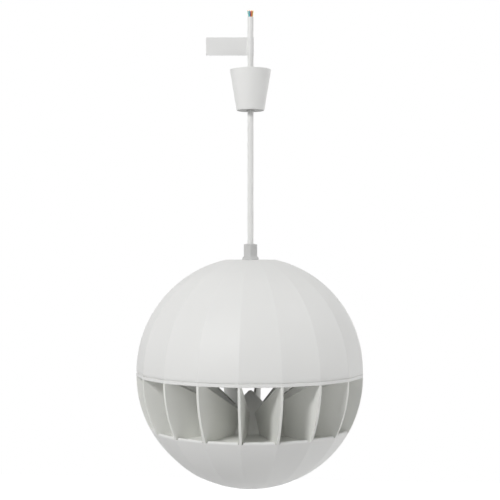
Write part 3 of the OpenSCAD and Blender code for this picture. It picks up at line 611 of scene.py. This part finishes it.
def make_bottom_bowl():
    """The gored bowl, with a rounded rim that is notched for the vanes and a screw's hole below."""
    rim_z = BOWL_HIGH.z - RIM_ROUND
    fall = rim_z - BOWL_CENTRE
    rim_r = math.sqrt((BALL_R - RIM_ROUND) ** 2 - fall ** 2)
    floor_r = math.sqrt(BALL_R ** 2 - (BOWL_CENTRE - BOWL_HIGH.z) ** 2) - RIM_W
    floor_z = BOWL_HIGH.z - FLOOR_DROP
    ledge_z = floor_z - FLOOR_T
    inner = BALL_R - WALL
    bottom = BOWL_LOW.z
    arc_start = math.asin(fall / (BALL_R - RIM_ROUND))
    rows = [round_row(HEAD_HOLE_R, bottom + HEAD_HOLE_H), round_row(HEAD_HOLE_R, bottom)]
    rows += [gore_row(BOTTOM_FLAT_R - EDGE_STEP, bottom)]
    lowest = -BOTTOM_FALL + EDGE_STEP / 2
    rows += dome_rows(BALL_R, BOWL_CENTRE, lowest, fall - RIM_ROUND, BOWL_STEPS)
    for i in range(RIM_STEPS + 1):
        a = arc_start + (math.pi / 2 - arc_start) * i / RIM_STEPS
        rows.append(gore_row(rim_r + RIM_ROUND * math.cos(a), rim_z + RIM_ROUND * math.sin(a)))
    rows += [gore_row(floor_r + EDGE_STEP, BOWL_HIGH.z, INNER_FILLET)]
    rows += [gore_row(floor_r, BOWL_HIGH.z - EDGE_STEP, INNER_FILLET)]
    rows += [gore_row(floor_r, ledge_z, INNER_FILLET), gore_row(floor_r - LEDGE_W, ledge_z, INNER_FILLET)]
    inside = (BOTTOM_WALL - BOTTOM_FALL, ledge_z - LEDGE_W - BOWL_CENTRE)
    rows += dome_rows(inner, BOWL_CENTRE, *inside, BOWL_INNER_STEPS, INNER_FILLET)[::-1]
    inner_bottom = rows[-1][0].z
    rows += [round_row(SHANK_HOLE_R, inner_bottom), round_row(SHANK_HOLE_R, bottom + HEAD_HOLE_H)]
    bowl = loft("bowl_skin", rows, shell_plastic)
    notch_low, notch_high = floor_z - NOTCH_GAP, BOWL_HIGH.z + OVERSHOOT
    carve(bowl, notch_cutter(floor_r - OVERSHOOT, BALL_R, notch_low, notch_high))
    bevel_edges(bowl, BOWL_BEVEL, BOWL_SHARP)
    mark_sharp(bowl, BOWL_SHARP)
    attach(bowl, "speaker")
    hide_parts("bottom_bowl")


make_upper_shell()
make_bottom_bowl()


# Materials of the nodes that carry over

VANES = [node for node in NODES if node.startswith("vane_")]
NODE_MATERIALS = [
    (shell_plastic, ["baffle_ring"]),
    (horn_plastic, ["deflector", *VANES]),
    (cup_plastic, ["ceiling_cup"]),
    (gland_plastic, ["gland_body", "gland_nut", "gland_locknut"]),
    (grey_rubber, ["cup_grommet"]),
    (rubber, ["gland_seal", "frame_gasket"]),
    (paper, ["paper_cone", "dust_cap"]),
    (steel, ["shell_screws", "bowl_screw", "driver_screws", "clamp_screws"]),
    (zinc, ["top_plate", "back_plate", "transformer_bracket", "transformer_clamp"]),
    (zinc, ["cord_clamp", "load_plate"]),
    (brass, ["driver_terminals"]),
    (copper, ["coil_winding"]),
    (former_film, ["coil_former"]),
    (core_steel, ["transformer_core"]),
    (winding_tape, ["transformer_winding"]),
    (block_plastic, ["terminal_block"]),
    (lead_pvc, ["driver_leads"]),
    (cord_pvc, ["inner_cable"]),
    (black_enamel, ["driver_frame"]),
    (ferrite, ["magnet"]),
    (felt, ["damping_lining"]),
]

for material, names in NODE_MATERIALS:
    for node in names:
        set_material(node, material)


# Surround and spider, as turned rings in sectors

SECTORS = 12
SECTOR_STEPS = 12
RUBBER_T = 1 * MM
GLUE = 0.1 * MM
CONE_LIP = 4 * MM
SURROUND_LOW, SURROUND_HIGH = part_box("surround")
SPIDER_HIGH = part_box("spider")[1]
CONE_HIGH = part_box("paper_cone")[1]
FORMER_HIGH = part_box("coil_former")[1]
ROLL_STEPS = 16
SPIDER_LAND = 4 * MM
SPIDER_T = 1.2 * MM
SPIDER_WAVE = 1.2 * MM
SPIDER_WAVES = 4
WAVE_STEPS = 12
RING_SHARP = 35


def arc(x, z, r, a, b, steps):
    """Points of an arc in a half section, from one angle in degrees to another."""
    turns = [math.radians(a + (b - a) * i / steps) for i in range(steps + 1)]
    return [(x + r * math.cos(t), z + r * math.sin(t)) for t in turns]


def surround_section():
    """The half roll, with its inner lip under the cone's edge and its outer land under the frame."""
    top = SURROUND_HIGH.z
    low = top - RUBBER_T
    inner = CONE_HIGH.x - CONE_LIP
    roll_in = CONE_HIGH.x + RUBBER_T
    roll_out = SURROUND_HIGH.x
    roll = low - SURROUND_LOW.z
    mid = roll_in + roll
    return (
        [(inner, low), (inner, top), (roll_in, top)]
        + arc(mid, top, roll - RUBBER_T, 180, 360, ROLL_STEPS)
        + [(roll_out, top), (roll_out, low)]
        + arc(mid, low, roll, 360, 180, ROLL_STEPS)
    )


def spider_section():
    """A corrugated disc between the voice coil's former and the frame's shelf."""
    top = SPIDER_HIGH.z
    former = FORMER_HIGH.x
    start = former + SPIDER_LAND / 2
    span = SPIDER_HIGH.x - SPIDER_LAND - start - SPIDER_WAVE
    steps = SPIDER_WAVES * WAVE_STEPS
    wave = []
    for i in range(steps + 1):
        dip = SPIDER_WAVE * math.sin(math.pi * SPIDER_WAVES * i / steps) ** 2
        wave.append((start + span * i / steps, top - dip))
    upper = [(former + GLUE, top), *wave, (SPIDER_HIGH.x, top)]
    return upper + [(r, z - SPIDER_T) for r, z in reversed(upper)]


def bending_ring(node, section, material):
    """A turned ring in sectors, which stands in for the node and hides it."""
    for k in range(SECTORS):
        start = 2 * math.pi * k / SECTORS
        points, faces = [], []
        n = len(section)
        for i in range(SECTOR_STEPS + 1):
            a = start + 2 * math.pi / SECTORS * i / SECTOR_STEPS
            points += [(r * math.cos(a), r * math.sin(a), z) for r, z in section]
        for i in range(SECTOR_STEPS):
            for j in range(n):
                t = (j + 1) % n
                faces.append((i * n + j, i * n + t, (i + 1) * n + t, (i + 1) * n + j))
        piece = mesh_piece("%s_%02d" % (node, k + 1), points, faces, material)
        mark_sharp(piece, RING_SHARP)
        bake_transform(piece)
        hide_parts(node)


bending_ring(
    "surround", surround_section(), rubber,
)
bending_ring(
    "spider", spider_section(), spider_cloth,
)


# Edges of the carried-over nodes

MERGE = 0.002 * MM
FLAT_DEGREES = 0.4
GORED = 12
ROUND = 28
# Rounding of the edges of each node that shows, and the angle in degrees from which an edge counts
EDGES = {
    "baffle_ring": (0.35 * MM, GORED), "deflector": (0.35 * MM, GORED),
    "gland_body": (0.25 * MM, ROUND), "gland_nut": (0.25 * MM, ROUND),
    "ceiling_cup": (0.3 * MM, ROUND), "cup_grommet": (0.3 * MM, ROUND),
    **{vane: (0.3 * MM, ROUND) for vane in VANES}
}


def make_seam_group(degrees):
    """Geometry nodes that join the split corners of a node's mesh and smooth it up to an angle."""
    group = bpy.data.node_groups.new("joined_corners_%d" % degrees, "GeometryNodeTree")
    for way in ("INPUT", "OUTPUT"):
        group.interface.new_socket("Geometry", in_out=way, socket_type="NodeSocketGeometry")
    merge = add_node(group, "GeometryNodeMergeByDistance", Distance=MERGE)
    plain = add_node(group, "GeometryNodeRemoveAttribute", Name="custom_normal")
    faces = add_node(group, "GeometryNodeSetShadeSmooth")
    edges = add_node(group, "GeometryNodeSetShadeSmooth", domain="EDGE")
    angle = add_node(group, "GeometryNodeInputMeshEdgeAngle")
    flat = add_node(group, "FunctionNodeCompare", operation="LESS_THAN", B=math.radians(degrees))
    start, end = group.nodes.new("NodeGroupInput"), group.nodes.new("NodeGroupOutput")
    chain = [start, merge, plain, faces, edges, end]
    for before, after in zip(chain, chain[1:]):
        group.links.new(before.outputs["Geometry"], after.inputs["Geometry"])
    group.links.new(angle.outputs["Unsigned Angle"], flat.inputs["A"])
    group.links.new(flat.outputs["Result"], edges.inputs["Shade Smooth"])
    return group


def soften(obj, width, degrees, group):
    """Rounds a node's sharp edges. Its own mesh stays as it is."""
    obj.modifiers.new("joined_corners", "NODES").node_group = group
    plane = obj.modifiers.new("whole_faces", "DECIMATE")
    plane.decimate_type = "DISSOLVE"
    plane.angle_limit = math.radians(FLAT_DEGREES)
    bevel_edges(obj, width, degrees)


SEAM_GROUPS = {degrees: make_seam_group(degrees) for degrees in (GORED, ROUND)}
for node, (width, degrees) in EDGES.items():
    soften(NODES[node], width, degrees, SEAM_GROUPS[degrees])


# Light and surroundings

WHITE = (1, 1, 1, 1)
WORLD_LIGHT = 0.19
AIM = Vector((0, 0, -0.5))
LAMP_DISTANCE = 3.0
# Name, azimuth from the camera's side and height in degrees, side of the square lamp, watts
LAMPS = [
    ("key", -37, 32, 0.7, 43),
    ("front", 0, 5, 1.6, 8),
    ("left", -90, 5, 1.6, 8),
    ("right", 90, 5, 1.6, 13),
    ("upper_right", 90, 45, 1.6, 17),
    ("low_right", 48, -38, 1.6, 23),
    ("top", 0, 80, 1.6, 5),
    ("back_left", -140, 20, 1.6, 3),
    ("back_right", 140, 20, 1.6, 5),
]


def camera_white(tree, shader_socket, strength_low):
    """White to the camera, to gloss and to glass, and a plain light level to everything else."""
    path = tree.nodes.new("ShaderNodeLightPath")
    seen = path.outputs["Is Camera Ray"]
    for ray in ("Is Glossy Ray", "Is Transmission Ray"):
        either = add_node(tree, "ShaderNodeMath", operation="MAXIMUM")
        tree.links.new(seen, either.inputs[0])
        tree.links.new(path.outputs[ray], either.inputs[1])
        seen = either.outputs[0]
    spread = add_node(tree, "ShaderNodeMapRange")
    spread.inputs["To Min"].default_value = strength_low
    spread.inputs["To Max"].default_value = 1.0
    tree.links.new(seen, spread.inputs["Value"])
    tree.links.new(spread.outputs["Result"], shader_socket)


def make_world():
    world = bpy.data.worlds.new("studio")
    bpy.context.scene.world = world
    world.use_nodes = True
    background = world.node_tree.nodes["Background"]
    background.inputs["Color"].default_value = WHITE
    camera_white(world.node_tree, background.inputs["Strength"], WORLD_LIGHT)


def soft_box(name, azimuth, height, side, watts):
    """A square lamp that looks at the ball. Positive azimuths are to the camera's right."""
    data = bpy.data.lights.new(name, "AREA")
    data.shape = "SQUARE"
    data.size = side
    data.energy = watts
    lamp = link(bpy.data.objects.new(name, data))
    turn = VIEW_TURN + math.radians(azimuth)
    rise = math.radians(height)
    way = Vector((math.sin(turn) * math.cos(rise), -math.cos(turn) * math.cos(rise), math.sin(rise)))
    lamp.location = AIM + way * LAMP_DISTANCE
    lamp.rotation_euler = way.to_track_quat("Z", "Y").to_euler()


def make_lights():
    for lamp in LAMPS:
        soft_box(*lamp)


FLOOR_Z = -2.3
FLOOR_REACH = 8
FLOOR_GREY = (0.74, 0.74, 0.74, 1)
FLOOR_ROUGHNESS = 0.9


def floor_material():
    material, tree, shader = new_material("floor")
    shader.inputs["Base Color"].default_value = FLOOR_GREY
    shader.inputs["Roughness"].default_value = FLOOR_ROUGHNESS
    shader.inputs["Emission Color"].default_value = WHITE
    camera_white(tree, shader.inputs["Emission Strength"], 0.0)
    return material


def make_floor():
    r = FLOOR_REACH
    corners = [(x, y, FLOOR_Z) for x, y in ((-r, -r), (r, -r), (r, r), (-r, r))]
    floor = mesh_piece("floor", corners, [(0, 1, 2, 3)], floor_material())


make_world()
make_lights()
make_floor()
bpy.context.scene.view_settings.view_transform = "Standard"
